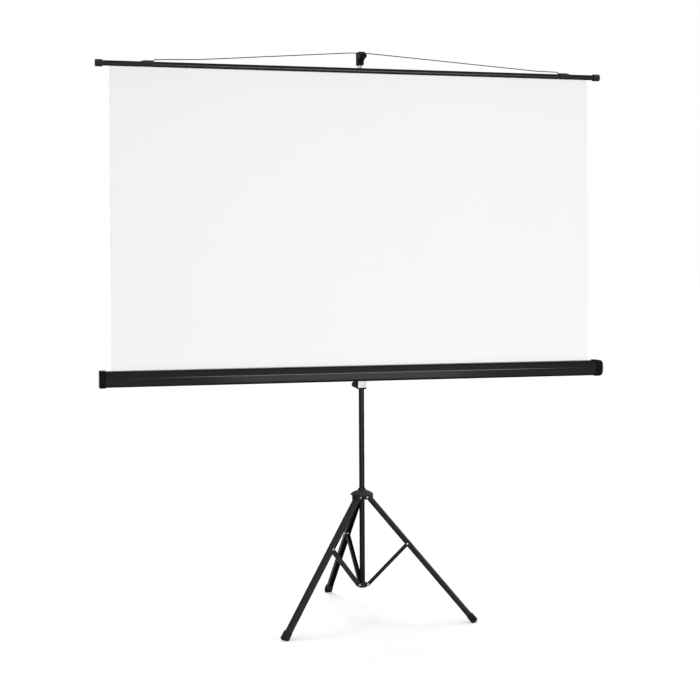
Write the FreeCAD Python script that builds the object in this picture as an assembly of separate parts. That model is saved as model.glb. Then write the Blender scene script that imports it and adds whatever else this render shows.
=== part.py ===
import FreeCAD, Part
import math
import os

# Tripod projection screen: a folding tripod carries a black mast, a roller casing in front of it
# and a chrome extension tube, from whose hook the top bar of the screen hangs by a wire bail.
# Lengths are millimetres. The origin is on the floor, on the mast's axis. +Z is up, -Y is the
# side that is looked at and +X is to its right.

V = FreeCAD.Vector
ORIGIN = V(0, 0, 0)
X = V(1, 0, 0)
Y = V(0, 1, 0)
Z = V(0, 0, 1)

# Fits shared by all pieces
running_gap = 0.05
clear_gap = 0.3
overrun = 5.0

# Mast
mast_radius = 10.0
mast_wall = 1.2
mast_foot_height = 112.0
mast_top_height = 870.0
plug_flange = 1.2
plug_spigot = 28.0

# Tripod linkage, with the angles of legs and braces in degrees from the mast
pivot_radius = 23.0
pivot_spread = 322.0
leg_angle = 41.4
fold_ratio = 1.05
tripod_turn = -145.0
leg_count = 3
rivet_radius = 2.2
rivet_head_radius = 4.0
rivet_head_height = 1.7
rivet_head_top_radius = 2.6

# Legs and their rubber tips
leg_width = 22.0
leg_depth = 17.4
leg_wall = 1.2
leg_corner = 4.5
leg_pivot_inset = 1.8
leg_ear_radius = 7.0
leg_back_start = 12.0
tip_width = 26.8
tip_depth = 21.8
tip_length = 33.0
tip_base = 8.0
tip_round = 3.5
tip_edge = 2.0
sole_cut = 5.0

# Braces
brace_width = 15.0
brace_depth = 13.5
brace_wall = 1.0
brace_corner = 2.5
link_spacer_radius = 4.0

# Hub that slides on the mast, with heights above the leg pivots
hub_arm_radius = 41.5
hub_cheek = 3.0
hub_core = 3.0
hub_bottom_drop = 9.0
hub_roof_rise = 10.0
hub_rim_rise = 7.5
hub_rim_top_rise = 12.0
hub_shoulder_radius = 31.0
hub_shoulder_rise = 19.0
hub_neck_wall = 2.0
hub_neck_foot_rise = 25.0
hub_neck_foot_radius = 16.0
hub_neck_rise = 32.0
hub_apron = 1.6
hub_apron_drop = 2.6

# Collar at the foot of the mast
collar_radius = 17.0
collar_height = 17.0
collar_edge = 1.2
collar_pivot_rise = 12.0
ear_side_gap = 0.4
ear_radius = 4.5

# Extension tube and its guides
tube_radius = 7.5
tube_wall = 1.0
tube_overlap = 125.0
guide_length = 24.0
guide_base = 6.0
bush_length = 32.0

# Screen fabric and top bar
fabric_width = 1800.0
fabric_thickness = 0.5
screen_shift = -10.0
screen_height = 1107.0
bar_radius = 9.5
bar_wall = 1.2
bar_slot = 2.4
bar_overhang = 49.5
bar_cap_radius = 13.0
bar_cap_length = 26.0
bar_cap_end = 4.0
bar_cap_edge = 2.0
bar_cap_groove_depth = 0.8
bar_cap_groove_width = 1.6
bar_cap_groove_place = 9.0
hem_rod_radius = 3.5
hem_grip = 3.0

# Wire bail and its clips on the bar, with the bail's rises measured in its own plane
wire_radius = 1.65
wire_bend = 3.2
clip_wall = 4.4
clip_length = 44.0
clip_taper = 12.0
clip_tail = 1.0
clip_skirt = 3.2
clip_left_inset = 158.5
clip_right_inset = 120.5
bail_pin = 30.0
bail_step = 4.0
bail_rise = 6.0
bail_knee_left_run = 167.0
bail_knee_left_rise = 12.0
bail_knee_right_run = 85.0
bail_knee_right_rise = 7.5
bail_top_half = 38.0

# Head hook on the extension, with heights above the bar
head_width = 24.0
head_front = 18.0
head_back = 11.5
head_bottom_rise = 22.0
head_edge = 2.0
saddle_back = 2.0
saddle_rise = 67.0
post_rise = 3.0
nose_reach = 62.0
nose_tip_rise = 45.0
nose_root_rise = 37.0
nose_round = 6.0
socket_top_rise = 52.0
hook_pin_radius = 2.0
hook_pin_rise = 33.0

# Casing, with its outline measured from its own axis
casing_half = 28.0
casing_wall = 1.2
casing_ridge_rise = 3.0
casing_top_setback = 3.5
casing_bottom_setback = 4.0
casing_top_round = 6.0
casing_ridge_round = 12.0
casing_bottom_round = 10.0
casing_left_overhang = 21.5
casing_right_overhang = 14.5
casing_slot = 5.0
casing_slot_margin = 6.0
cap_lip = 2.4
cap_overlap = 14.0
cap_left_length = 22.0
cap_right_length = 34.0
cap_left_dome = 2.0
cap_left_crown = 2.0
cap_right_dome = 17.0
cap_right_crown = 24.0
cap_dome_shares = (0, 0.3, 0.6, 0.85, 1)
cap_end_wall = 2.0
cap_boss_wall = 4.0
cap_boss_length = 10.0
screw_radius = 1.5
screw_head_radius = 2.8
screw_head_height = 1.3
screw_bite = 2.5

# Roller inside the casing
roller_radius = 15.0
roller_wall = 1.0
roll_radius = 18.7
roller_margin = 5.0
roller_plug_length = 24.0
roller_plug_flange = 2.0
spring_shaft_radius = 5.0
idle_pin_radius = 4.0
spring_radius = 9.2
spring_wire = 2.0
spring_length = 80.0
spring_stand_off = 3.0
anchor_length = 14.0
anchor_flange = 5.0

# Chrome clamp at the top of the mast, which the casing rests on, with its tongue behind the casing
clamp_half_width = 16.0
clamp_front = 16.6
clamp_back = 15.0
clamp_grip = 21.0
clamp_roof = 6.0
clamp_round = 3.0
tongue_thickness = 2.2
tongue_gap = 1.1
tongue_rise = 26.0
tongue_screw_place = 12.0
tongue_screw_rise = 14.0
clamp_screw_radius = 3.0
clamp_socket_radius = 1.5
clamp_socket_depth = 3.0

# Lock knob on the clamp's left side
knob_drop = 9.0
knob_base_radius = 15.5
knob_end_radius = 8.0
knob_length = 19.0
knob_flutes = 8
knob_flute_radius = 3.0
knob_edge = 1.5
stud_radius = 3.0
stud_hole_gap = 0.4


# Worked-out sizes
def sine(angle):
    return math.sin(math.radians(angle))


def cosine(angle):
    return math.cos(math.radians(angle))


brace_pivot_height = mast_foot_height + collar_pivot_rise
leg_pivot_height = brace_pivot_height + pivot_spread
brace_angle = fold_ratio * leg_angle
link_reach = pivot_spread / (
    cosine(leg_angle) / sine(leg_angle) + cosine(brace_angle) / sine(brace_angle))
leg_link = link_reach / sine(leg_angle)
brace_link = link_reach / sine(brace_angle)
fold_shares = [step / 40 for step in range(41)]
fold_error = max(abs(leg_link * sine(leg_angle * share) - brace_link * sine(brace_angle * share))
                 for share in fold_shares)
link_play = fold_error * 1.5 + clear_gap
side_play = fold_error + clear_gap

mast_bore = mast_radius - mast_wall
tube_bottom_height = mast_top_height - tube_overlap
clamp_bottom_height = mast_top_height - clamp_grip
knob_height = mast_top_height - knob_drop
hub_bore = mast_radius + fold_error + clear_gap
hub_slot_start = hub_bore + hub_core
hub_slot_half = leg_width / 2 + clear_gap
leg_inner_half = leg_width / 2 - leg_wall
leg_open_edge = leg_pivot_inset - leg_depth / 2
leg_back = leg_pivot_inset + leg_depth / 2
tip_inner_face = leg_pivot_inset - tip_depth / 2
tip_end = (leg_pivot_height + tip_inner_face * sine(leg_angle) + sole_cut) / cosine(leg_angle)
leg_end = tip_end - tip_base

casing_rear = -(tube_radius + tongue_gap + tongue_thickness)
casing_y = casing_rear - casing_half
casing_bottom = mast_top_height + clamp_roof
casing_height = casing_bottom + casing_half
fabric_front = casing_y + roll_radius + clear_gap
fabric_left = screen_shift - fabric_width / 2
fabric_right = screen_shift + fabric_width / 2
casing_left = fabric_left - casing_left_overhang
casing_right = fabric_right + casing_right_overhang
roller_left = fabric_left - roller_margin
roller_right = fabric_right + roller_margin

bar_y = fabric_front + fabric_thickness / 2
bar_height = casing_height + screen_height
bar_left = fabric_left - bar_overhang
bar_right = fabric_right + bar_overhang
clip_left = bar_left + clip_left_inset + clip_length
clip_right = bar_right - clip_right_inset - clip_length
bar_bore = bar_radius - bar_wall
hem_rod_height = bar_height - (bar_bore - hem_rod_radius) + running_gap
fabric_top = hem_rod_height - hem_rod_radius + hem_grip

pivot_height = bar_height + bar_radius + clip_wall / 2
saddle_height = bar_height + saddle_rise
bail_reach = math.hypot(saddle_back - bar_y, saddle_height - pivot_height)
bail_lean = math.degrees(math.atan2(saddle_back - bar_y, saddle_height - pivot_height))
head_bottom = bar_height + head_bottom_rise
tube_top = bar_height + socket_top_rise
spring_start = roller_left + roller_plug_length + spring_stand_off


# Building blocks
def block(x0, x1, y0, y1, z0, z1):
    return Part.makeBox(x1 - x0, y1 - y0, z1 - z0, V(x0, y0, z0))


def rod(radius, length, base, axis):
    return Part.makeCylinder(radius, length, base, axis)


def pipe(outer, inner, length, base, axis):
    return rod(outer, length, base, axis).cut(rod(inner, length, base, axis))


def turned(points, axis=Z):
    """Turn an outline of (radius, place along the axis) pairs about the axis."""
    across = Z if axis == X else X
    outline = [across * radius + axis * place for radius, place in points]
    return Part.Face(Part.makePolygon(outline + outline[:1])).revolve(ORIGIN, axis, 360)


def rounded_path(corners, closed=False):
    """Join (point, radius) corners by straight runs and tangent arcs."""
    edges = []
    starts = []
    ends = []
    arcs = []
    last = len(corners) - 1
    for number, (point, radius) in enumerate(corners):
        if not radius or (not closed and number in (0, last)):
            starts.append(point)
            ends.append(point)
            arcs.append(None)
            continue
        back = (corners[number - 1][0] - point).normalize()
        ahead = (corners[(number + 1) % len(corners)][0] - point).normalize()
        half_turn = back.getAngle(ahead) / 2
        inset = radius / math.tan(half_turn)
        middle = (back + ahead).normalize() * (radius / math.sin(half_turn) - radius)
        starts.append(point + back * inset)
        ends.append(point + ahead * inset)
        arcs.append(Part.Arc(starts[-1], point + middle, ends[-1]).toShape())
    for number, arc in enumerate(arcs):
        if arc:
            edges.append(arc)
        if number < last or closed:
            edges.append(Part.LineSegment(ends[number], starts[(number + 1) % len(corners)]).toShape())
    return Part.Wire(edges)


def bent_wire(path, radius, start, along):
    """Sweep a round wire along a path that starts at a point in a direction."""
    section = Part.Wire(Part.Circle(start, along, radius).toShape())
    return path.makePipeShell([section], True, False)


def edges_at(shape, wanted):
    return [edge for edge in shape.Edges if wanted(edge.BoundBox)]


def close(one, other):
    return math.isclose(one, other, abs_tol=running_gap / 2)


def rivet(half_grip):
    """A rivet along Y with a bevelled head at each end."""
    half = [(0, half_grip + rivet_head_height), (rivet_head_top_radius, half_grip + rivet_head_height),
            (rivet_head_radius, half_grip), (rivet_radius, half_grip)]
    return turned(half + [(radius, -place) for radius, place in reversed(half)], Y)


def pan_screw(length, place, along):
    """A small screw whose head seats at a place and whose shank runs on along a direction."""
    head = rod(screw_head_radius, screw_head_height, place, along * -1)
    return head.fuse(rod(screw_radius, length, place, along))


def channel(width, depth, wall, corner, back, z0, z1):
    """An open channel along Z with its rounded back towards +X."""
    def bar(half_width, x0, x1, radius):
        solid = block(x0, x1, -half_width, half_width, z0, z1)
        long_edges = edges_at(solid, lambda box: close(box.XMin, x1) and close(box.YLength, 0))
        return solid.makeFillet(radius, long_edges)
    outer = bar(width / 2, back - depth, back, corner)
    inner = bar(width / 2 - wall, back - depth - overrun, back - wall, corner - wall)
    return outer.cut(inner)


def around_mast(shape, number):
    """Turn a piece made for the +X side to the place of its leg."""
    shape = shape.copy()
    shape.rotate(ORIGIN, Z, 360 / leg_count * number + tripod_turn)
    return shape


def placed(shape, angle, height):
    """Tilt a piece about its pivot and set the pivot beside the mast."""
    shape = shape.copy()
    shape.rotate(ORIGIN, Y, angle)
    shape.translate(X * pivot_radius + Z * height)
    return shape


def leg_pieces():
    """A pressed channel leg with two pivot ears, its rubber tip and the rivet to its brace."""
    leg = channel(leg_width, leg_depth, leg_wall, leg_corner, leg_back, -leg_end, leg_ear_radius)
    wide = leg_width / 2 + overrun
    top = block(leg_open_edge - overrun, leg_back + overrun, -wide, wide,
                -leg_back_start, leg_ear_radius + overrun)
    ears = rod(leg_ear_radius, wide * 2, Y * -wide, Y)
    ears = ears.fuse(block(leg_open_edge, leg_ear_radius, -wide, wide, -leg_back_start, 0))
    leg = leg.cut(top.cut(ears))
    leg = leg.cut(rod(rivet_radius + running_gap, wide * 2, Y * -wide, Y))
    leg = leg.cut(rod(rivet_radius, wide * 2, V(0, -wide, -leg_link), Y))

    tip = block(tip_inner_face, tip_inner_face + tip_depth, -tip_width / 2, tip_width / 2,
                -tip_end, tip_length - tip_end)
    tip = tip.makeFillet(tip_round, edges_at(tip, lambda box: close(box.ZLength, tip_length)))
    tip = tip.makeChamfer(tip_edge, edges_at(tip, lambda box: close(box.ZLength, 0))).cut(leg)

    link = rivet(leg_width / 2)
    spacer_start = brace_width / 2 + side_play
    for side in (-1, 1):
        base = Y * side * spacer_start
        link = link.fuse(rod(link_spacer_radius, leg_inner_half - spacer_start, base, Y * side))
    link.translate(Z * -leg_link)
    return [placed(piece, -leg_angle, leg_pivot_height) for piece in (leg, tip, link)]


def brace_piece(link_gap):
    """A small channel with rounded ends, holed for its rivets."""
    half = brace_depth / 2
    wide = brace_width / 2 + overrun
    solid = channel(brace_width, brace_depth, brace_wall, brace_corner, half, -half, brace_link + half)
    outline = block(-half, half, -wide, wide, 0, brace_link)
    for height in (0, brace_link):
        outline = outline.fuse(rod(half, wide * 2, V(0, -wide, height), Y))
    solid = solid.common(outline)
    solid = solid.cut(rod(rivet_radius + running_gap, wide * 2, Y * -wide, Y))
    solid = solid.cut(rod(rivet_radius + link_gap, wide * 2, V(0, -wide, brace_link), Y))
    return placed(solid, brace_angle, brace_pivot_height)


def hub_piece():
    """A dome with a neck round the mast and three forks for the legs."""
    dome = turned([(hub_bore, -hub_bottom_drop), (hub_slot_start, -hub_bottom_drop),
                   (hub_slot_start, hub_rim_rise), (hub_arm_radius, hub_rim_rise),
                   (hub_arm_radius, hub_rim_top_rise), (hub_shoulder_radius, hub_shoulder_rise),
                   (hub_neck_foot_radius, hub_neck_foot_rise), (hub_bore + hub_neck_wall, hub_neck_rise),
                   (hub_bore, hub_neck_rise)])
    arm_half = hub_slot_half + hub_cheek
    arm = block(0, hub_arm_radius, -arm_half, arm_half, -hub_bottom_drop, hub_rim_top_rise)
    arm = arm.common(rod(hub_arm_radius, hub_bottom_drop + hub_rim_top_rise, Z * -hub_bottom_drop, Z))
    below = -hub_bottom_drop - overrun
    slot = block(hub_slot_start, hub_arm_radius - hub_apron, -hub_slot_half, hub_slot_half,
                 below, hub_roof_rise)
    slot = slot.fuse(block(hub_slot_start, hub_arm_radius + overrun, -hub_slot_half, hub_slot_half,
                           below, -hub_apron_drop))
    hole = rod(rivet_radius, arm_half * 2, V(pivot_radius, -arm_half, 0), Y)
    hub = dome
    for number in range(leg_count):
        hub = hub.fuse(around_mast(arm, number))
    for number in range(leg_count):
        hub = hub.cut(around_mast(slot.fuse(hole), number))
    hub = hub.cut(rod(hub_bore, hub_neck_rise + hub_bottom_drop, Z * -hub_bottom_drop, Z))
    hub.translate(Z * leg_pivot_height)
    return hub.removeSplitter()


def ring_of_rivets(half_grip, height):
    pin = rivet(half_grip)
    pin.translate(X * pivot_radius + Z * height)
    return Part.makeCompound([around_mast(pin, number) for number in range(leg_count)])


def collar_piece():
    """A ring on the mast with three ears, each as wide as a brace is inside."""
    ring_top = mast_foot_height + collar_height
    solid = turned([(mast_radius, mast_foot_height), (collar_radius - collar_edge, mast_foot_height),
                    (collar_radius, mast_foot_height + collar_edge), (collar_radius, ring_top - collar_edge),
                    (collar_radius - collar_edge, ring_top), (mast_radius, ring_top)])
    half = brace_width / 2 - brace_wall - ear_side_gap
    ear = block(mast_radius, pivot_radius, -half, half, -ear_radius, ear_radius)
    ear = ear.fuse(rod(ear_radius, half * 2, V(pivot_radius, -half, 0), Y))
    ear = ear.cut(rod(rivet_radius, half * 2, V(pivot_radius, -half, 0), Y))
    ear.translate(Z * brace_pivot_height)
    for number in range(leg_count):
        solid = solid.fuse(around_mast(ear, number))
    return solid.cut(rod(mast_radius, collar_height, Z * mast_foot_height, Z)).removeSplitter()


def mast_pieces():
    """The mast tube, the plug in its foot and the bush that guides the extension in its top."""
    tube = pipe(mast_radius, mast_bore, mast_top_height - mast_foot_height, Z * mast_foot_height, Z)
    bush_base = Z * (mast_top_height - bush_length)
    bush = pipe(mast_bore, tube_radius + running_gap, bush_length, bush_base, Z)
    stud_hole = rod(stud_radius + stud_hole_gap, mast_radius + overrun, Z * knob_height, X * -1)
    plug = rod(mast_radius, plug_flange, Z * (mast_foot_height - plug_flange), Z)
    plug = plug.fuse(rod(mast_bore, plug_spigot, Z * mast_foot_height, Z))
    return tube.cut(stud_hole), plug, bush.cut(stud_hole)


def extension_pieces():
    """The chrome tube and the guide on its foot, which slides in the mast."""
    pin_hole = rod(hook_pin_radius, head_width, V(-head_width / 2, 0, bar_height + hook_pin_rise), X)
    tube = pipe(tube_radius, tube_radius - tube_wall, tube_top - tube_bottom_height,
                Z * tube_bottom_height, Z).cut(pin_hole)
    guide = rod(mast_bore - running_gap, guide_base + guide_length, Z * (tube_bottom_height - guide_base), Z)
    guide = guide.cut(rod(tube_radius, guide_length, Z * tube_bottom_height, Z))
    return tube, guide


def head_pieces():
    """The plastic hook: a socket on the tube, a nose over the bar and a post behind the wire."""
    track = bail_reach - wire_radius - clear_gap

    def track_point(y):
        return V(0, y, pivot_height + math.sqrt(track ** 2 - (y - bar_y) ** 2))

    post_front = saddle_back + wire_radius + clear_gap
    tip_start = nose_round - nose_reach
    top = Part.Arc(track_point(post_front), track_point(bar_y), track_point(tip_start)).toShape()
    post_top = saddle_height + post_rise
    tip_top = track_point(tip_start).z - nose_round
    outline = [track_point(tip_start), V(0, -nose_reach, tip_top),
               V(0, -nose_reach, bar_height + nose_tip_rise),
               V(0, -head_front, bar_height + nose_root_rise), V(0, -head_front, head_bottom),
               V(0, head_back, head_bottom), V(0, head_back, post_top),
               V(0, post_front, post_top), track_point(post_front)]
    runs = [Part.LineSegment(outline[n], outline[n + 1]).toShape() for n in range(len(outline) - 1)]
    face = Part.Face(Part.Wire([top] + runs))
    face.translate(X * (-head_width / 2))
    head = face.extrude(X * head_width)
    sides = edges_at(head, lambda box: close(box.XLength, 0))
    head = head.makeChamfer(head_edge, sides)
    head = head.cut(rod(tube_radius, tube_top - head_bottom, Z * head_bottom, Z))
    pin = rod(hook_pin_radius, head_width, V(-head_width / 2, 0, bar_height + hook_pin_rise), X)
    return head.cut(pin), pin


def bar_pieces():
    """The slotted top bar, the rod that holds the fabric's hem in it and the two end caps."""
    inset = bar_cap_length - bar_cap_end
    start = V(bar_left + bar_cap_end, bar_y, bar_height)
    length = bar_right - bar_left - bar_cap_end * 2
    bar = pipe(bar_radius, bar_bore, length, start, X)
    bar = bar.cut(block(bar_left, bar_right, bar_y - bar_slot / 2, bar_y + bar_slot / 2,
                        bar_height - bar_radius - overrun, bar_height))
    hem_rod = rod(hem_rod_radius, fabric_width, V(fabric_left, bar_y, hem_rod_height), X)
    slit = fabric_thickness / 2 + running_gap
    hem_rod = hem_rod.cut(block(fabric_left, fabric_right, bar_y - slit, bar_y + slit,
                                hem_rod_height - hem_rod_radius, fabric_top + running_gap))
    caps = []
    for end, inward in ((bar_left, X), (bar_right, X * -1)):
        place = V(end, bar_y, bar_height)
        cap = rod(bar_cap_radius, bar_cap_length, place, inward)
        rim = edges_at(cap, lambda box: close(box.XMin, end) and close(box.XMax, end))
        cap = cap.makeChamfer(bar_cap_edge, rim)
        groove_base = place + inward * bar_cap_groove_place
        cap = cap.cut(pipe(bar_cap_radius, bar_cap_radius - bar_cap_groove_depth,
                           bar_cap_groove_width, groove_base, inward))
        caps.append(cap.cut(rod(bar_radius, inset, place + inward * bar_cap_end, inward)))
    return bar, hem_rod, caps[0], caps[1]


def fabric_piece():
    """The screen between the roll and the bar."""
    return block(fabric_left, fabric_right, fabric_front, fabric_front + fabric_thickness,
                 casing_height, fabric_top)


def clip_pieces():
    """Two snap-on clips on the bar, each bored for an end of the bail."""
    clips = []
    outside = bar_radius + clip_wall
    outline = [(bar_radius, 0), (outside, 0), (outside, clip_length - clip_taper),
               (bar_radius + clip_tail, clip_length), (bar_radius, clip_length)]
    for start, outward in ((clip_left, -1), (clip_right, 1)):
        clip = turned([(radius, place * outward) for radius, place in outline], X)
        clip = clip.cut(block(-clip_length, clip_length, -outside, outside, -outside, -clip_skirt))
        pivot = Z * (pivot_height - bar_height)
        clip = clip.cut(rod(wire_radius + running_gap, bail_pin + clear_gap, pivot, X * outward))
        clip.translate(V(start, bar_y, bar_height))
        clips.append(clip)
    return Part.makeCompound(clips)


def bail_piece():
    """The bent wire from clip to clip, leaning back onto the hook's saddle."""
    left = clip_left + bail_step
    right = clip_right - bail_step
    route = [(clip_left - bail_pin, 0), (left, 0), (left, bail_rise),
             (clip_left + bail_knee_left_run, bail_knee_left_rise),
             (-bail_top_half, bail_reach), (bail_top_half, bail_reach),
             (clip_right - bail_knee_right_run, bail_knee_right_rise), (right, bail_rise), (right, 0),
             (clip_right + bail_pin, 0)]
    corners = [(V(x, 0, rise), wire_bend) for x, rise in route]
    wire = bent_wire(rounded_path(corners), wire_radius, corners[0][0], X)
    wire.rotate(ORIGIN, X, -bail_lean)
    wire.translate(V(0, bar_y, pivot_height))
    return wire


def casing_outline(offset, place):
    """The casing's section at a place along X: a ridged front, a flat back and rounded corners."""
    corners = [(-casing_half, casing_ridge_rise, casing_ridge_round),
               (casing_top_setback - casing_half, casing_half, casing_top_round),
               (casing_half, casing_half, casing_top_round),
               (casing_half, -casing_half, casing_bottom_round),
               (casing_bottom_setback - casing_half, -casing_half, casing_bottom_round)]
    corners = [(V(place, casing_y + y, casing_height + z), radius) for y, z, radius in corners]
    wire = rounded_path(corners, True)
    return wire.makeOffset2D(offset) if offset else wire


def casing_prism(offset, start, end):
    return Part.Face(casing_outline(offset, start)).extrude(X * (end - start))


def cap_screw_places():
    middle = cap_overlap / 2
    return [V(casing_left - middle, casing_rear + cap_lip, casing_height),
            V(casing_right + middle, casing_rear + cap_lip, casing_height)]


def tongue_screw_places():
    return [V(side * tongue_screw_place, casing_rear + tongue_thickness, casing_height + tongue_screw_rise)
            for side in (-1, 1)]


def casing_screws():
    """The screws that hold the casing to the tongue and the caps to the casing."""
    through_tongue = tongue_thickness + casing_wall + screw_bite
    through_cap = cap_lip + casing_wall + screw_bite
    back = Y * -1
    on_tongue = [pan_screw(through_tongue, place, back) for place in tongue_screw_places()]
    on_caps = [pan_screw(through_cap, place, back) for place in cap_screw_places()]
    return Part.makeCompound(on_tongue), Part.makeCompound(on_caps)


def casing_shell():
    """The long shell with a slot for the fabric along the back of its top."""
    start = casing_left - cap_overlap
    end = casing_right + cap_overlap
    shell = casing_prism(0, start, end).cut(casing_prism(-casing_wall, start, end))
    slot = block(fabric_left - casing_slot_margin, fabric_right + casing_slot_margin,
                 bar_y - casing_slot / 2, bar_y + casing_slot / 2,
                 casing_height, casing_height + casing_half + overrun)
    shell = shell.cut(slot)
    for screws in casing_screws():
        shell = shell.cut(screws)
    return shell


def casing_cap(inner_end, length, outward, dome, crown, pin_radius):
    """An end cap: a skirt over the shell, a domed end wall and a boss for the roller's pin."""
    dome_start = inner_end + outward * (length - dome)
    wall_face = dome_start - outward * cap_end_wall
    rings = []
    for share in cap_dome_shares:
        place = dome_start + outward * dome * sine(90 * share)
        ring = casing_outline(cap_lip, place)
        inset = crown * (1 - cosine(90 * share))
        ring.scale(1 - inset / (casing_half + cap_lip), V(place, casing_y, casing_height))
        rings.append(ring)
    cap = casing_prism(cap_lip, inner_end, dome_start).fuse(Part.makeLoft(rings, True, True))
    seat = inner_end + outward * cap_overlap
    cap = cap.cut(casing_prism(0, inner_end, seat))
    cap = cap.cut(casing_prism(-cap_boss_wall, inner_end, wall_face))
    boss_start = V(wall_face - outward * cap_boss_length, casing_y, casing_height)
    boss = rod(pin_radius + cap_boss_wall, cap_boss_length, boss_start, X * outward)
    cap = cap.fuse(boss).cut(rod(pin_radius, cap_boss_length, boss_start, X * outward))
    return cap.cut(casing_screws()[1])


def roller_pieces():
    """The roller tube, its two end plugs and the fabric that is still wound on it."""
    axis = V(0, casing_y, casing_height)
    bore = roller_radius - roller_wall
    length = roller_right - roller_left
    tube = pipe(roller_radius, bore, length, axis + X * roller_left, X)
    roll = pipe(roll_radius, roller_radius, fabric_width, axis + X * fabric_left, X)
    plugs = []
    for end, inward, pin in ((roller_left, X, spring_shaft_radius), (roller_right, X * -1, idle_pin_radius)):
        plug = rod(roller_radius, roller_plug_flange, axis + X * end, inward * -1)
        plug = plug.fuse(rod(bore, roller_plug_length, axis + X * end, inward))
        base = axis + X * end - inward * roller_plug_flange
        plugs.append(plug.cut(rod(pin + running_gap, roller_plug_flange + roller_plug_length, base, inward)))
    return tube, roll, plugs


def spring_pieces():
    """The still shaft with its anchor, the close-wound spring round it and the pin at the other end."""
    axis = V(0, casing_y, casing_height)
    left_face = casing_left - cap_left_length + cap_left_dome + cap_end_wall
    right_face = casing_right + cap_right_length - cap_right_dome - cap_end_wall
    spring_end = spring_start + spring_length
    shaft = rod(spring_shaft_radius, spring_end + anchor_flange - left_face, axis + X * left_face, X)
    pin_inner = roller_right - roller_plug_length
    pin = rod(idle_pin_radius, right_face - pin_inner, axis + X * pin_inner, X)
    spring_bore = spring_radius - spring_wire
    coil = pipe(spring_radius, spring_bore, spring_length, axis + X * spring_start, X)
    anchor_start = spring_end - anchor_length
    anchor = rod(spring_bore - running_gap, anchor_length, axis + X * anchor_start, X)
    anchor = anchor.fuse(rod(spring_radius, anchor_flange, axis + X * spring_end, X))
    anchor = anchor.cut(rod(spring_shaft_radius, anchor_length + anchor_flange, axis + X * anchor_start, X))
    return shaft, pin, anchor, coil


def clamp_pieces():
    """The chrome clamp on the mast, with a tongue behind the casing, and its grub screw."""
    clamp = block(-clamp_half_width, clamp_half_width, -clamp_front, clamp_back,
                  clamp_bottom_height, casing_bottom)
    upright = edges_at(clamp, lambda box: close(box.XLength, 0) and close(box.YLength, 0))
    clamp = clamp.makeFillet(clamp_round, upright)
    tongue = block(-clamp_half_width, clamp_half_width, casing_rear, casing_rear + tongue_thickness,
                   clamp_bottom_height, casing_height + tongue_rise)
    clamp = clamp.fuse(tongue)
    clamp = clamp.cut(rod(mast_radius, mast_top_height - clamp_bottom_height, Z * clamp_bottom_height, Z))
    clamp = clamp.cut(rod(tube_radius + clear_gap, clamp_roof + overrun, Z * mast_top_height, Z))
    clamp = clamp.cut(rod(stud_radius + running_gap, clamp_half_width + overrun, Z * knob_height, X * -1))
    clamp = clamp.cut(casing_screws()[0])
    screw_length = clamp_back - mast_radius
    screw = rod(clamp_screw_radius, screw_length, V(0, clamp_back, knob_height), Y * -1)
    clamp = clamp.cut(screw)
    socket = rod(clamp_socket_radius, clamp_socket_depth, V(0, clamp_back, knob_height), Y * -1)
    return clamp.removeSplitter(), screw.cut(socket)


def knob_pieces():
    """The tapered, fluted lock knob and the stud that presses on the extension tube."""
    start = clamp_half_width + clear_gap
    end = start + knob_length
    knob = turned([(0, start), (knob_base_radius - knob_edge, start), (knob_base_radius, start + knob_edge),
                   (knob_end_radius, end - knob_edge), (knob_end_radius - knob_edge, end), (0, end)], X)
    for number in range(knob_flutes):
        angle = 360 / knob_flutes * number
        outward = V(0, cosine(angle), sine(angle))
        base = X * (start - overrun) + outward * (knob_base_radius + knob_flute_radius / 2)
        knob = knob.cut(rod(knob_flute_radius, knob_length + overrun * 2, base, X))
    stud_tip = tube_radius + stud_hole_gap
    stud_end = start + knob_length / 2
    stud = rod(stud_radius, stud_end - stud_tip, X * stud_tip, X)
    pieces = [knob.cut(stud), stud]
    for piece in pieces:
        piece.rotate(ORIGIN, Z, 180)
        piece.translate(Z * knob_height)
    return pieces


# The parts, one node each
nodes = {}
nodes["mast_tube"], nodes["mast_plug"], nodes["guide_bush"] = mast_pieces()
nodes["lower_collar"] = collar_piece()
nodes["collar_rivets"] = ring_of_rivets(brace_width / 2 + clear_gap, brace_pivot_height)
nodes["mast_clamp"], nodes["clamp_screw"] = clamp_pieces()
nodes["lock_knob"], nodes["knob_stud"] = knob_pieces()
nodes["casing_shell"] = casing_shell()
nodes["casing_cap_left"] = casing_cap(
    casing_left, cap_left_length, -1, cap_left_dome, cap_left_crown, spring_shaft_radius)
nodes["casing_cap_right"] = casing_cap(
    casing_right, cap_right_length, 1, cap_right_dome, cap_right_crown, idle_pin_radius)
nodes["tongue_screws"], nodes["cap_screws"] = casing_screws()
nodes["spring_shaft"], nodes["idle_pin"], nodes["spring_anchor"], nodes["roller_spring"] = spring_pieces()
nodes["roller_tube"], nodes["fabric_roll"], plugs = roller_pieces()
nodes["roller_plug_left"], nodes["roller_plug_right"] = plugs
nodes["extension_tube"], nodes["extension_guide"] = extension_pieces()
nodes["head_hook"], nodes["hook_pin"] = head_pieces()
nodes["top_bar"], nodes["hem_rod"], nodes["bar_cap_left"], nodes["bar_cap_right"] = bar_pieces()
nodes["screen_fabric"] = fabric_piece()
nodes["wire_clips"] = clip_pieces()
nodes["wire_bail"] = bail_piece()
nodes["hub"] = hub_piece()
nodes["hub_rivets"] = ring_of_rivets(hub_slot_half + hub_cheek, leg_pivot_height)
floor = block(-leg_end, leg_end, -leg_end, leg_end, -leg_end, 0)
for number in range(leg_count):
    name = str(number + 1)
    leg, tip, link = [around_mast(piece, number) for piece in leg_pieces()]
    nodes["leg_" + name] = leg
    nodes["leg_tip_" + name] = tip.cut(floor)
    nodes["link_rivet_" + name] = link
    nodes["brace_" + name] = around_mast(brace_piece(link_play if number else running_gap), number)

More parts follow.
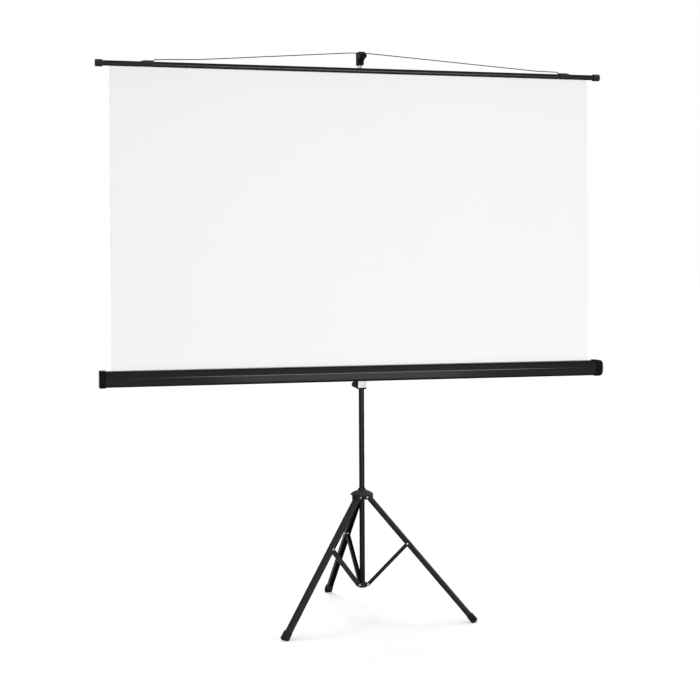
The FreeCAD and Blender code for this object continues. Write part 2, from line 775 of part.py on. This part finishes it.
os.makedirs("parts", exist_ok=True)
for name, shape in nodes.items():
    shape.exportStep("parts/" + name + ".step")
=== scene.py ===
import math

import bmesh
import bpy
from mathutils import Matrix, Vector


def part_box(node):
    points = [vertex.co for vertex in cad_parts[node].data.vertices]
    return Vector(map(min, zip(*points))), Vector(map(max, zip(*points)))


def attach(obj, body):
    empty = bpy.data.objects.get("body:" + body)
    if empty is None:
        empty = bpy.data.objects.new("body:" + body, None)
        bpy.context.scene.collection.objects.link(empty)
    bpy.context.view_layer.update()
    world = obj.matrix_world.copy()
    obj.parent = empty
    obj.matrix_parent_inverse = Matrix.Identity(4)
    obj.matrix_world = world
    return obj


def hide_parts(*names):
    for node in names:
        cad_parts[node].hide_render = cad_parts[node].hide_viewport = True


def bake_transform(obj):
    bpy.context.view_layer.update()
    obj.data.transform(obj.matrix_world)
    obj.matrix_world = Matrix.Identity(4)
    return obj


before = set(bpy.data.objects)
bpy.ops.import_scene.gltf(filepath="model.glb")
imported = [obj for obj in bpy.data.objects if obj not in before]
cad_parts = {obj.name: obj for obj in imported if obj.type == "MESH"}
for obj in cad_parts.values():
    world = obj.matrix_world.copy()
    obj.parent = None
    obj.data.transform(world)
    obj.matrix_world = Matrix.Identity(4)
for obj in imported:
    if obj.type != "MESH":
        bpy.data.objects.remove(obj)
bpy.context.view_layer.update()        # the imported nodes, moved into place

# Tripod projection screen. Lengths are metres, +Z is up and -Y is the side that is looked at.

scene = bpy.context.scene

# Camera, as fitted to the photograph
camera_place = Vector((-1.2284, -4.8271, 1.2893))
camera_yaw = math.radians(13.819)
camera_pitch = math.radians(-0.626)
camera_roll = math.radians(-0.303)
camera_reach = 180.0
image_pixels = 700
focal_pixels = 1352.9
principal_row = 282.7
sensor_width = 36.0

# World light, as the camera and reflections see it and as it falls on the part
background_strength = 1.0
ambient_strength = 0.17

# Softboxes, which make the highlights: place, width, height and power
softbox_target = Vector((0.0, 0.0, 1.1))
softboxes = {
    "front": (Vector((1.25, -5.0, 1.0)), 2.6, 0.5, 115.0),
    "low": (Vector((0.5, -2.3, 0.16)), 1.3, 0.3, 2.9),
    "fill": (Vector((-3.4, -4.0, 1.6)), 2.4, 2.4, 36.0),
}

# Sun lamps, which light cloth and floor: degrees to the right of the front, degrees above the floor,
# strength and breadth in degrees
lamp_distance = 6.0
lamps = {
    "key": (34.0, 12.0, 1.71, 28.0),
    "top": (190.0, 77.0, 2.9, 52.0),
}

# Floor
floor_half = 60.0
floor_drop = 0.0002
floor_tone = 0.55
floor_glow = 0.415

# Surfaces
noise_low = 0.3
noise_high = 0.7
noise_detail = 4.0
fine_detail = 2.0
even_stretch = (1.0, 1.0, 1.0)
profile_stretch = (0.05, 1.0, 1.0)
roller_stretch = (0.1, 1.0, 1.0)
gloss_scale_share = 3.0
grain_strength = 0.35
dent_scale_share = 6.0
dent_depth = 0.00003
cloth_patch = 3.0
cloth_gloss_patch = 40.0
cloth_specular = 0.2
weave_pitch = 0.0009
weave_distortion = 0.4
weave_strength = 0.25
weave_depth = 0.00005
wave_texture_rate = 20.0        # radians that Blender's wave texture turns in one unit

# Hanging cloth, whose ripples are two crossed waves in radians per metre across and up
fabric_columns = 180
fabric_rows = 110
fabric_rim = 0.0005
edge_curl = 0.0003
edge_curl_width = 0.035
ripple = 0.0005
ripple_rates = ((7.3, 2.1), (2.9, -1.3))
hem_height = 0.028
hem_rise = 0.00035

# Wound cloth
roll_pitch = 0.00054
roll_gap = 0.00005
roll_turn_steps = 40
roll_columns = 24

# Rubber ring under the clamp, whose dark rubber is painted shade along the clamp's lower edge
ring_height = 0.0055
ring_inset = 0.0003
ring_gap = 0.0002
ring_corner = 0.003
ring_edge = 0.0005
ring_steps = 64


# Node helpers
def new_material(name):
    material = bpy.data.materials.new(name)
    material.use_nodes = True
    return material, material.node_tree, material.node_tree.nodes["Principled BSDF"]


def noise(tree, scale, stretch=even_stretch, detail=noise_detail):
    """Noise in the piece's own coordinates, with a scale for each axis."""
    nodes, links = tree.nodes, tree.links
    place = nodes.new("ShaderNodeTexCoord")
    mapping = nodes.new("ShaderNodeMapping")
    mapping.inputs["Scale"].default_value = stretch
    texture = nodes.new("ShaderNodeTexNoise")
    texture.inputs["Scale"].default_value = scale
    texture.inputs["Detail"].default_value = detail
    links.new(place.outputs["Object"], mapping.inputs["Vector"])
    links.new(mapping.outputs["Vector"], texture.inputs["Vector"])
    return texture.outputs["Fac"]


def spread(tree, value, low, high):
    """A value between low and high, led by a noise."""
    node = tree.nodes.new("ShaderNodeMapRange")
    node.inputs["From Min"].default_value = noise_low
    node.inputs["From Max"].default_value = noise_high
    node.inputs["To Min"].default_value = low
    node.inputs["To Max"].default_value = high
    tree.links.new(value, node.inputs["Value"])
    return node.outputs["Result"]


def tint(tree, value, dark, light):
    """A grey between two, led by a noise."""
    ramp = tree.nodes.new("ShaderNodeValToRGB")
    for element, position, level in zip(ramp.color_ramp.elements, (noise_low, noise_high), (dark, light)):
        element.position = position
        element.color = (level, level, level, 1.0)
    tree.links.new(value, ramp.inputs["Fac"])
    return ramp.outputs["Color"]


def bump(tree, shader, height, strength, distance):
    node = tree.nodes.new("ShaderNodeBump")
    node.inputs["Strength"].default_value = strength
    node.inputs["Distance"].default_value = distance
    tree.links.new(height, node.inputs["Height"])
    tree.links.new(node.outputs["Normal"], shader.inputs["Normal"])


def coated(name, tones, roughness, index, patch, grain, grain_depth):
    """Paint, plastic or rubber: patches of tone and gloss over a fine grain."""
    material, tree, shader = new_material(name)
    tree.links.new(tint(tree, noise(tree, patch), *tones), shader.inputs["Base Color"])
    gloss = noise(tree, patch * gloss_scale_share)
    tree.links.new(spread(tree, gloss, *roughness), shader.inputs["Roughness"])
    shader.inputs["IOR"].default_value = index
    bump(tree, shader, noise(tree, grain, detail=fine_detail), grain_strength, grain_depth)
    return material


def metal(name, tones, roughness, patch, edge=0.0, dents=0.1, stretch=even_stretch):
    """Bare, plated or black metal, a little smudged. A low edge value darkens it where it turns away."""
    material, tree, shader = new_material(name)
    patches = noise(tree, patch, stretch)
    tree.links.new(tint(tree, patches, *tones), shader.inputs["Base Color"])
    tree.links.new(spread(tree, patches, *roughness), shader.inputs["Roughness"])
    shader.inputs["Metallic"].default_value = 1.0
    shader.inputs["Specular Tint"].default_value = (edge, edge, edge, 1.0)
    bump(tree, shader, noise(tree, patch * dent_scale_share, stretch, fine_detail), dents, dent_depth)
    return material


def cloth(name, tones, roughness):
    """Coated cloth whose fine weave shows in its surface."""
    material, tree, shader = new_material(name)
    nodes, links = tree.nodes, tree.links
    links.new(tint(tree, noise(tree, cloth_patch), *tones), shader.inputs["Base Color"])
    links.new(spread(tree, noise(tree, cloth_gloss_patch), *roughness), shader.inputs["Roughness"])
    shader.inputs["Specular IOR Level"].default_value = cloth_specular
    place = nodes.new("ShaderNodeUVMap")
    weave = nodes.new("ShaderNodeMath")
    weave.operation = "MULTIPLY"
    for direction, socket in zip(("X", "Y"), weave.inputs):
        threads = nodes.new("ShaderNodeTexWave")
        threads.bands_direction = direction
        threads.inputs["Scale"].default_value = math.tau / wave_texture_rate / weave_pitch
        threads.inputs["Distortion"].default_value = weave_distortion
        links.new(place.outputs["UV"], threads.inputs["Vector"])
        links.new(threads.outputs["Fac"], socket)
    bump(tree, shader, weave.outputs["Value"], weave_strength, weave_depth)
    return material


# Materials
mast_enamel = metal("mast_enamel", tones=(0.012, 0.017), roughness=(0.28, 0.36), patch=9.0)
casing_metal = metal("casing_black", tones=(0.014, 0.018), roughness=(0.13, 0.18), patch=7.0,
                     stretch=profile_stretch)
bar_metal = metal("bar_black", tones=(0.018, 0.024), roughness=(0.16, 0.22), patch=7.0,
                  stretch=profile_stretch)
wire_metal = metal("bail_wire", tones=(0.02, 0.03), roughness=(0.3, 0.4), patch=20.0)
chrome = metal("chrome", tones=(0.62, 0.69), roughness=(0.05, 0.08), patch=25.0, dents=0.02)
# A darker copy of chrome for the extension tube: its lower tone is a painted dark reflection of the
# surroundings.
dark_reflection_chrome = metal("dark_reflection_chrome", tones=(0.38, 0.44), roughness=(0.05, 0.08), patch=25.0, dents=0.02)
zinc = metal("bright_steel", tones=(0.48, 0.60), roughness=(0.25, 0.38), patch=60.0, edge=0.6)
tube_steel = metal("roller_steel", tones=(0.40, 0.50), roughness=(0.35, 0.45), patch=20.0, edge=0.6,
                   stretch=roller_stretch)
leg_enamel = coated("leg_enamel", tones=(0.019, 0.025), roughness=(0.3, 0.4), index=1.12, patch=9.0,
                    grain=1800.0, grain_depth=0.00002)
plastic = coated("black_plastic", tones=(0.005, 0.008), roughness=(0.42, 0.52), index=1.08, patch=30.0,
                 grain=1800.0, grain_depth=0.00004)
moulding = coated("grey_black_moulding", tones=(0.020, 0.030), roughness=(0.42, 0.52), index=1.12,
                  patch=60.0, grain=1800.0, grain_depth=0.00004)
rubber = coated("rubber", tones=(0.015, 0.021), roughness=(0.65, 0.8), index=1.1, patch=40.0,
                grain=1200.0, grain_depth=0.00006)
white_cloth = cloth("screen_front", tones=(0.852, 0.860), roughness=(0.85, 0.95))
black_cloth = cloth("screen_back", tones=(0.012, 0.018), roughness=(0.7, 0.8))

finishes = {
    "mast_tube": mast_enamel, "mast_plug": plastic, "guide_bush": plastic,
    "lower_collar": moulding, "collar_rivets": zinc, "mast_clamp": chrome, "clamp_screw": zinc,
    "lock_knob": moulding, "knob_stud": zinc, "casing_shell": casing_metal,
    "casing_cap_left": plastic, "casing_cap_right": plastic, "tongue_screws": zinc, "cap_screws": zinc,
    "spring_shaft": zinc, "idle_pin": zinc, "spring_anchor": plastic, "roller_spring": zinc,
    "roller_tube": tube_steel, "roller_plug_left": plastic, "roller_plug_right": plastic,
    "fabric_roll": white_cloth, "extension_tube": dark_reflection_chrome, "extension_guide": plastic,
    "head_hook": plastic, "hook_pin": zinc, "top_bar": bar_metal, "hem_rod": plastic,
    "bar_cap_left": moulding, "bar_cap_right": moulding, "screen_fabric": white_cloth,
    "wire_clips": moulding, "wire_bail": wire_metal, "hub": moulding, "hub_rivets": zinc,
}
for number in ("1", "2", "3"):
    finishes["leg_" + number] = leg_enamel
    finishes["brace_" + number] = leg_enamel
    finishes["leg_tip_" + number] = rubber
    finishes["link_rivet_" + number] = zinc

for name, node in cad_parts.items():
    node.data.materials.clear()
    node.data.materials.append(finishes[name])


# Pieces of the scene
def add_piece(name, mesh, materials):
    piece = bpy.data.objects.new(name, mesh)
    scene.collection.objects.link(piece)
    for material in materials:
        mesh.materials.append(material)
    return piece


def mesh_of(form, name):
    mesh = bpy.data.meshes.new(name)
    form.to_mesh(mesh)
    form.free()
    return mesh


def sheet_mesh(name, front, back, widths, lengths):
    """A closed cloth from rows of points on its front and back, with a flat pattern in metres."""
    form = bmesh.new()
    flat = form.loops.layers.uv.new("flat")
    sides = [[[form.verts.new(point) for point in row] for row in side] for side in (front, back)]
    rows, columns = len(front), len(front[0])

    def add_face(corners, slot, smooth):
        face = form.faces.new([sides[side][row][column] for side, row, column in corners])
        face.material_index = slot
        face.smooth = smooth
        for loop, (side, row, column) in zip(face.loops, corners):
            loop[flat].uv = (widths[column], lengths[row])

    for row in range(rows - 1):
        for column in range(columns - 1):
            ring = [(row, column), (row, column + 1), (row + 1, column + 1), (row + 1, column)]
            add_face([(0, *place) for place in ring], 0, True)
            add_face([(1, *place) for place in reversed(ring)], 1, True)
    edge = [(0, c) for c in range(columns)] + [(r, columns - 1) for r in range(1, rows)]
    edge += [(rows - 1, c) for c in range(columns - 2, -1, -1)] + [(r, 0) for r in range(rows - 2, 0, -1)]
    for one, two in zip(edge, edge[1:] + edge[:1]):
        add_face([(0, *two), (0, *one), (1, *one), (1, *two)], 0, False)
    return mesh_of(form, name)


def hanging_screen():
    """The shown part of the screen: flat, with a welded hem and edges that curl a little forward."""
    low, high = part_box("screen_fabric")
    width, length, thick = high.x - low.x, high.z - low.z, high.y - low.y
    column_width = (width - 2 * fabric_rim) / fabric_columns
    inner = [low.x + fabric_rim + column_width * n for n in range(fabric_columns + 1)]
    across = [low.x, *inner, high.x]
    up = [low.z + length * n / fabric_rows for n in range(fabric_rows + 1)]
    hem_start = high.z - hem_height

    def forward(x, z):
        free = math.sin(math.pi * (z - low.z) / length)
        inset = min(x - low.x, high.x - x) / edge_curl_width
        curl = edge_curl * math.exp(-inset * inset)
        wave = ripple * math.prod(math.sin(x * aside + z * upward) for aside, upward in ripple_rates)
        return free * (curl + wave)

    front = [[Vector((x, low.y - forward(x, z) - (hem_rise if z > hem_start else 0), z)) for x in across]
             for z in up]
    back = [[Vector((x, low.y - forward(x, z) + thick, z)) for x in across] for z in up]
    piece = add_piece("projection_cloth", sheet_mesh("projection_cloth", front, back, across, up),
                      [white_cloth, black_cloth])
    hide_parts("screen_fabric")
    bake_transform(piece)


def wound_roll():
    """The rest of the screen, wound on the roller with its white side inwards."""
    low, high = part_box("fabric_roll")
    tube_low, tube_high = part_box("roller_tube")
    shown_low, shown_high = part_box("screen_fabric")
    middle = (low + high) / 2
    thick = shown_high.y - shown_low.y
    outer = (high.z - low.z - thick) / 2
    inner = (tube_high.z - tube_low.z + thick) / 2 + roll_gap
    steps = int((outer - inner) / roll_pitch * roll_turn_steps)
    across = [low.x + (high.x - low.x) * n / roll_columns for n in range(roll_columns + 1)]
    front, back, lengths = [], [], [0.0]
    for step in range(steps, -1, -1):
        angle = math.tau * step / roll_turn_steps
        radius = outer - roll_pitch * step / roll_turn_steps
        for side, shift in ((front, -thick / 2), (back, thick / 2)):
            y = middle.y + (radius + shift) * math.cos(angle)
            z = middle.z - (radius + shift) * math.sin(angle)
            side.append([Vector((x, y, z)) for x in across])
        if step:
            lengths.append(lengths[-1] + math.tau * radius / roll_turn_steps)
    piece = add_piece("wound_cloth", sheet_mesh("wound_cloth", front, back, across, lengths),
                      [white_cloth, black_cloth])
    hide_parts("fabric_roll")
    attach(piece, "roller")


def shade_ring_under_clamp():
    """A rubber ring round the mast under the clamp, with the clamp's own outline and bevelled edges; its
    dark is painted shade under the clamp.
    """
    low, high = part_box("mast_clamp")
    mast_low, mast_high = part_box("mast_tube")
    axis = (mast_low + mast_high) / 2
    centre = (low + high) / 2
    bore = (mast_high.x - mast_low.x) / 2 + ring_gap
    half = [span / 2 - ring_inset for span in (high.x - low.x, high.y - low.y)]
    turns = [math.tau * (step + 0.5) / ring_steps for step in range(ring_steps)]
    rays = [Vector((math.cos(turn), math.sin(turn))) for turn in turns]

    def outline(inset):
        """A rectangle with round corners, where rays from its middle meet it."""
        core = [span - inset - ring_corner for span in half]
        points = []
        for ray in rays:
            place = ray * min((reach + ring_corner) / abs(part) for reach, part in zip(core, ray))
            nearest = Vector([max(-reach, min(reach, part)) for reach, part in zip(core, place)])
            points.append(centre.xy + nearest + (place - nearest).normalized() * ring_corner)
        return points

    def circle(radius):
        return [axis.xy + ray * radius for ray in rays]

    top, foot = low.z, low.z - ring_height
    rings = [(circle(bore), top), (outline(0), top), (outline(0), foot + ring_edge),
             (outline(ring_edge), foot), (circle(bore + ring_edge), foot), (circle(bore), foot + ring_edge)]
    form = bmesh.new()
    loops = [[form.verts.new((*point, z)) for point in points] for points, z in rings]
    for one, two in zip(loops, loops[1:] + loops[:1]):
        for n in range(ring_steps):
            form.faces.new((one[n], two[n], two[n - 1], one[n - 1]))
    bmesh.ops.recalc_face_normals(form, faces=form.faces)
    # The ring's dark rubber stands in for painted shade along the clamp's lower edge.
    piece = add_piece("shade_ring_under_clamp", mesh_of(form, "shade_ring_under_clamp"), [rubber])
    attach(piece, "stand")


hanging_screen()
wound_roll()
shade_ring_under_clamp()


# Floor, light and camera
def shown_rays(tree):
    """One where a ray comes from the camera, a reflection or glass, and otherwise zero."""
    path = tree.nodes.new("ShaderNodeLightPath")
    total = path.outputs["Is Camera Ray"]
    for name in ("Is Glossy Ray", "Is Transmission Ray"):
        both = tree.nodes.new("ShaderNodeMath")
        both.operation = "MAXIMUM"
        tree.links.new(total, both.inputs[0])
        tree.links.new(path.outputs[name], both.inputs[1])
        total = both.outputs["Value"]
    return total


def floor_material():
    """A pale floor that takes shadows, and that only the camera and reflections see."""
    material = bpy.data.materials.new("pale_floor")
    material.use_nodes = True
    tree = material.node_tree
    tree.nodes.clear()
    output = tree.nodes.new("ShaderNodeOutputMaterial")
    matt = tree.nodes.new("ShaderNodeBsdfDiffuse")
    glow = tree.nodes.new("ShaderNodeEmission")
    shown = shown_rays(tree)
    for level, socket in ((floor_tone, matt.inputs["Color"]), (floor_glow, glow.inputs["Strength"])):
        share = tree.nodes.new("ShaderNodeMath")
        share.operation = "MULTIPLY"
        share.inputs[1].default_value = level
        tree.links.new(shown, share.inputs[0])
        tree.links.new(share.outputs["Value"], socket)
    both = tree.nodes.new("ShaderNodeAddShader")
    tree.links.new(matt.outputs["BSDF"], both.inputs[0])
    tree.links.new(glow.outputs["Emission"], both.inputs[1])
    tree.links.new(both.outputs["Shader"], output.inputs["Surface"])
    return material


def add_floor():
    mesh = bpy.data.meshes.new("floor")
    corners = [(x * floor_half, y * floor_half, 0) for x, y in ((-1, -1), (1, -1), (1, 1), (-1, 1))]
    mesh.from_pydata(corners, [], [(0, 1, 2, 3)])
    floor = add_piece("floor", mesh, [floor_material()])
    floor.location.z = -floor_drop


def add_world():
    world = bpy.data.worlds.new("studio")
    scene.world = world
    world.use_nodes = True
    tree = world.node_tree
    strength = tree.nodes.new("ShaderNodeMapRange")
    strength.inputs["To Min"].default_value = ambient_strength
    strength.inputs["To Max"].default_value = background_strength
    tree.links.new(shown_rays(tree), strength.inputs["Value"])
    shade = tree.nodes["Background"]
    shade.inputs["Color"].default_value = (1.0, 1.0, 1.0, 1.0)
    tree.links.new(strength.outputs["Result"], shade.inputs["Strength"])


def add_softbox(name, place, width, height, power):
    """A softbox turned to the screen, which shows only in reflections."""
    lamp = bpy.data.lights.new(name, "AREA")
    lamp.energy = power
    lamp.shape = "RECTANGLE"
    lamp.size = width
    lamp.size_y = height
    holder = bpy.data.objects.new(name, lamp)
    holder.visible_camera = False
    holder.location = place
    holder.rotation_euler = (softbox_target - place).to_track_quat("-Z", "Y").to_euler()
    scene.collection.objects.link(holder)


def add_lamp(name, right, above, strength, breadth):
    """A broad sun that makes no highlights."""
    lamp = bpy.data.lights.new(name, "SUN")
    lamp.energy = strength
    lamp.angle = math.radians(breadth)
    turn, rise = math.radians(right), math.radians(above)
    toward = Vector((math.sin(turn) * math.cos(rise), -math.cos(turn) * math.cos(rise), math.sin(rise)))
    holder = bpy.data.objects.new(name, lamp)
    holder.visible_glossy = False
    holder.location = toward * lamp_distance
    holder.rotation_euler = toward.to_track_quat("Z", "Y").to_euler()
    scene.collection.objects.link(holder)


def add_camera():
    lens = bpy.data.cameras.new("camera")
    lens.sensor_width = sensor_width
    lens.lens = focal_pixels / image_pixels * sensor_width
    lens.shift_y = (principal_row - image_pixels / 2) / image_pixels
    lens.clip_end = camera_reach
    level = math.cos(camera_pitch)
    ahead = Vector((math.sin(camera_yaw) * level, math.cos(camera_yaw) * level, math.sin(camera_pitch)))
    right = Vector((math.cos(camera_yaw), -math.sin(camera_yaw), 0.0))
    right = Matrix.Rotation(-camera_roll, 3, ahead) @ right
    up = right.cross(ahead)
    turn = Matrix((right, up, -ahead)).transposed().to_4x4()
    holder = bpy.data.objects.new("camera", lens)
    holder.matrix_world = Matrix.Translation(camera_place) @ turn
    scene.collection.objects.link(holder)
    scene.camera = holder


add_floor()
add_world()
for light_name, light_facts in softboxes.items():
    add_softbox(light_name, *light_facts)
for light_name, light_facts in lamps.items():
    add_lamp(light_name, *light_facts)
add_camera()
scene.view_settings.view_transform = "Standard"
